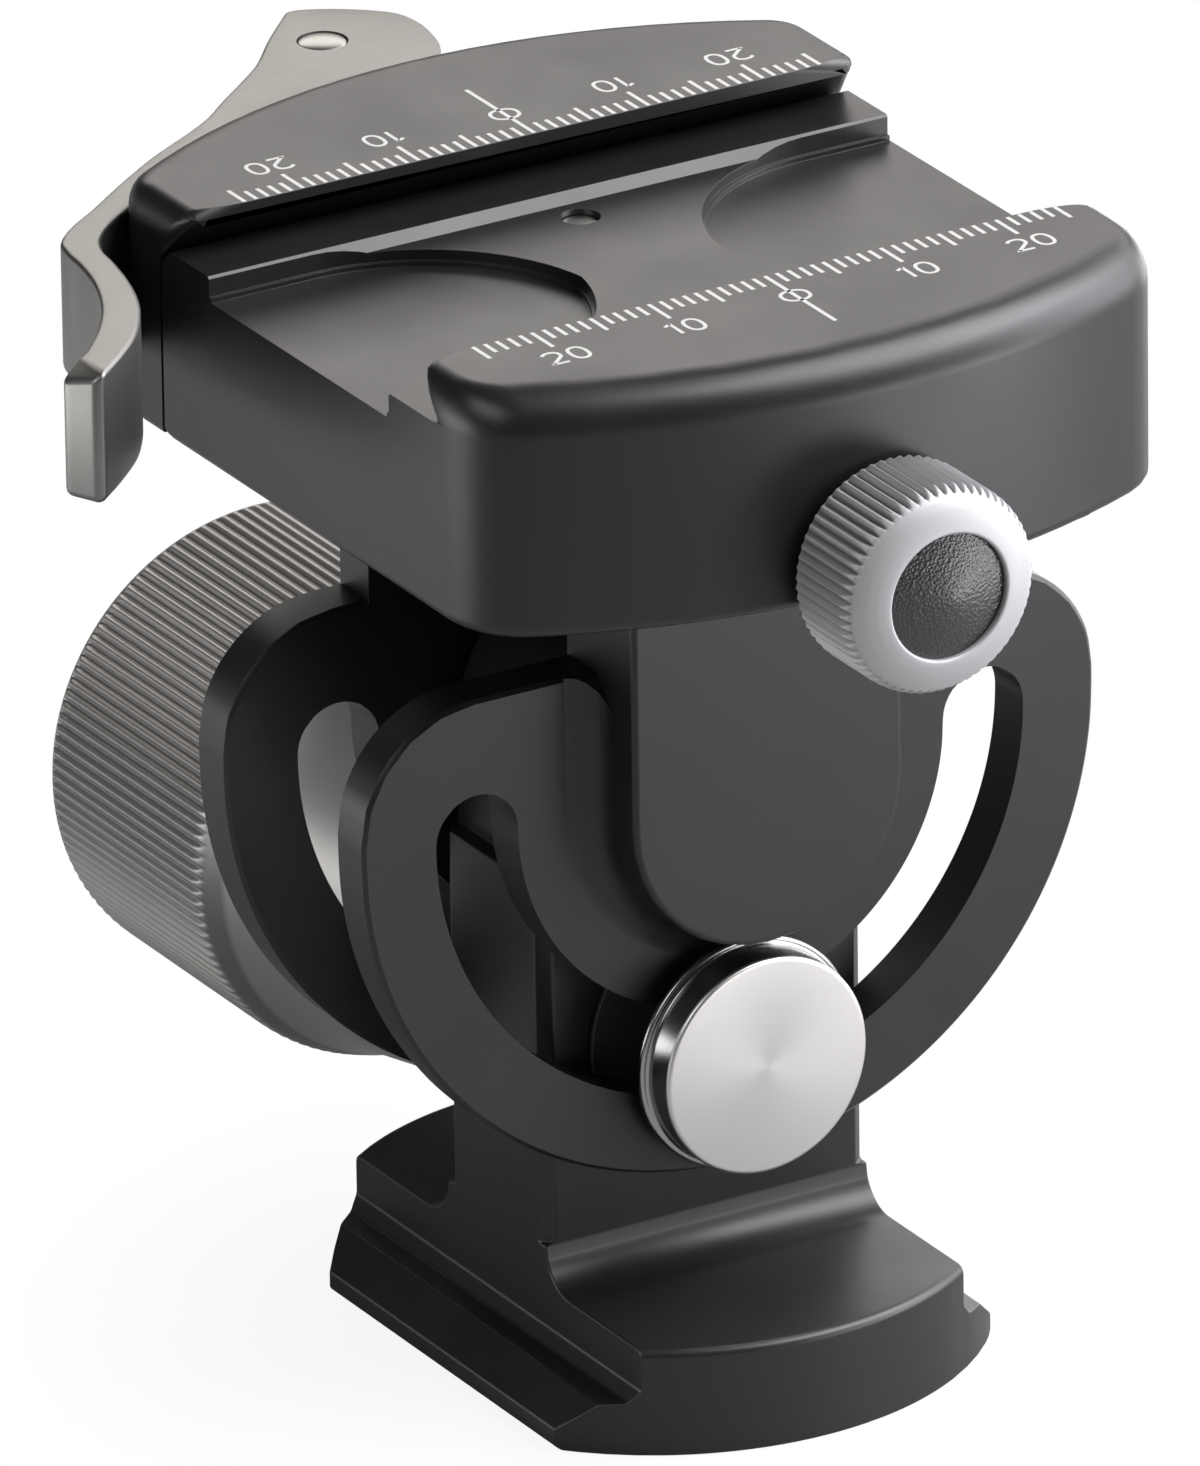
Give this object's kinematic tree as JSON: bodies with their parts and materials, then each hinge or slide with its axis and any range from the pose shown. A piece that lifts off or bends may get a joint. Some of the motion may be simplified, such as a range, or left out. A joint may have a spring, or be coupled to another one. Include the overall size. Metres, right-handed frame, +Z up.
{
  "type": "monopod head",
  "caption": "Tilting monopod head: lever-operated dovetail plate clamp that swivels on a slotted two-plate yoke over a column with a dovetail foot, locked by a large and a small knob.",
  "frame": {"origin": "centre of the raised island between the two jaws, where a camera plate rests", "axes": "+X along the clamp channel towards the end without the lever tab, +Y along the tilt axis from the small lock knob to the large knob, +Z up out of the clamp"},
  "size_m": [0.0802, 0.1032, 0.0909],
  "materials": {
    "black_anodised": "black satin anodised over a fine blasted surface",
    "grey_anodised": "grey satin anodised, knurled grip",
    "silver_matt": "matt silver, fine blasted, knurled edge",
    "stainless": "satin stainless steel",
    "dark_steel": "blackened steel",
    "brass": "turned brass",
    "bronze": "sintered bronze",
    "acetal": "smooth engineering plastic",
    "cap_plastic": "black with a fine sparkle"
  },
  "bodies": {
    "base": {"foot_column": "black_anodised", "foot_thread_insert": "stainless", "tilt_bush_front": "bronze", "tilt_bush_rear": "bronze", "tilt_spacer": "acetal", "tension_bolt": "stainless", "bolt_collar": "dark_steel", "friction_washer": "acetal", "bolt_spacer": "acetal", "knob_washer": "acetal"},
    "yoke": {"front_arm": "black_anodised", "rear_arm": "black_anodised", "rear_arm_screw_left": "dark_steel", "rear_arm_screw_right": "dark_steel", "tilt_pin": "stainless", "swivel_post": "stainless", "swivel_post_screw": "dark_steel", "swivel_washer": "acetal"},
    "clamp": {"clamp_body": "black_anodised", "draw_rod": "stainless", "lever_pin": "stainless", "guide_pin_left": "stainless", "guide_pin_right": "stainless", "jaw_spring_left": "stainless", "jaw_spring_right": "stainless", "floor_pin": "stainless", "floor_pin_spring": "stainless"},
    "jaw": {"movable_jaw": "black_anodised"},
    "lever": {"clamp_lever": "stainless"},
    "tilt_knob_body": {"tilt_knob": "grey_anodised", "tilt_knob_insert": "brass", "tilt_knob_cap": "grey_anodised"},
    "lock_knob_body": {"lock_knob": "silver_matt", "lock_knob_cap": "cap_plastic", "lock_screw": "dark_steel"}
  },
  "joints": [
    {"name": "tilt", "type": "hinge", "parent": "base", "child": "yoke", "pos_m": [0, 0, -0.03765], "axis": [0, 1, 0], "range_deg": [-90, 90]},
    {"name": "swivel", "type": "hinge", "parent": "yoke", "child": "clamp", "pos_m": [0, 0, -0.0119], "axis": [0, 0, 1], "continuous": true},
    {"name": "lever_swing", "type": "hinge", "parent": "clamp", "child": "lever", "pos_m": [0, 0.048, -0.00405], "axis": [0, 0, -1], "range_deg": [0, 104]},
    {"name": "jaw_slide", "type": "slide", "parent": "clamp", "child": "jaw", "axis": [0, 1, 0], "range_m": [0, 0.0033]},
    {"name": "tilt_knob_turn", "type": "hinge", "parent": "base", "child": "tilt_knob_body", "pos_m": [0, 0.037, -0.05968], "axis": [0, 1, 0], "range_deg": [0, 180]},
    {"name": "lock_knob_turn", "type": "hinge", "parent": "clamp", "child": "lock_knob_body", "pos_m": [0, -0.038, -0.0119], "axis": [0, -1, 0], "range_deg": [0, 180]}
  ],
  "couplings": [
    {"joint": "lever_swing", "follows": "jaw_slide", "rad_per_m": 529}
  ]
}
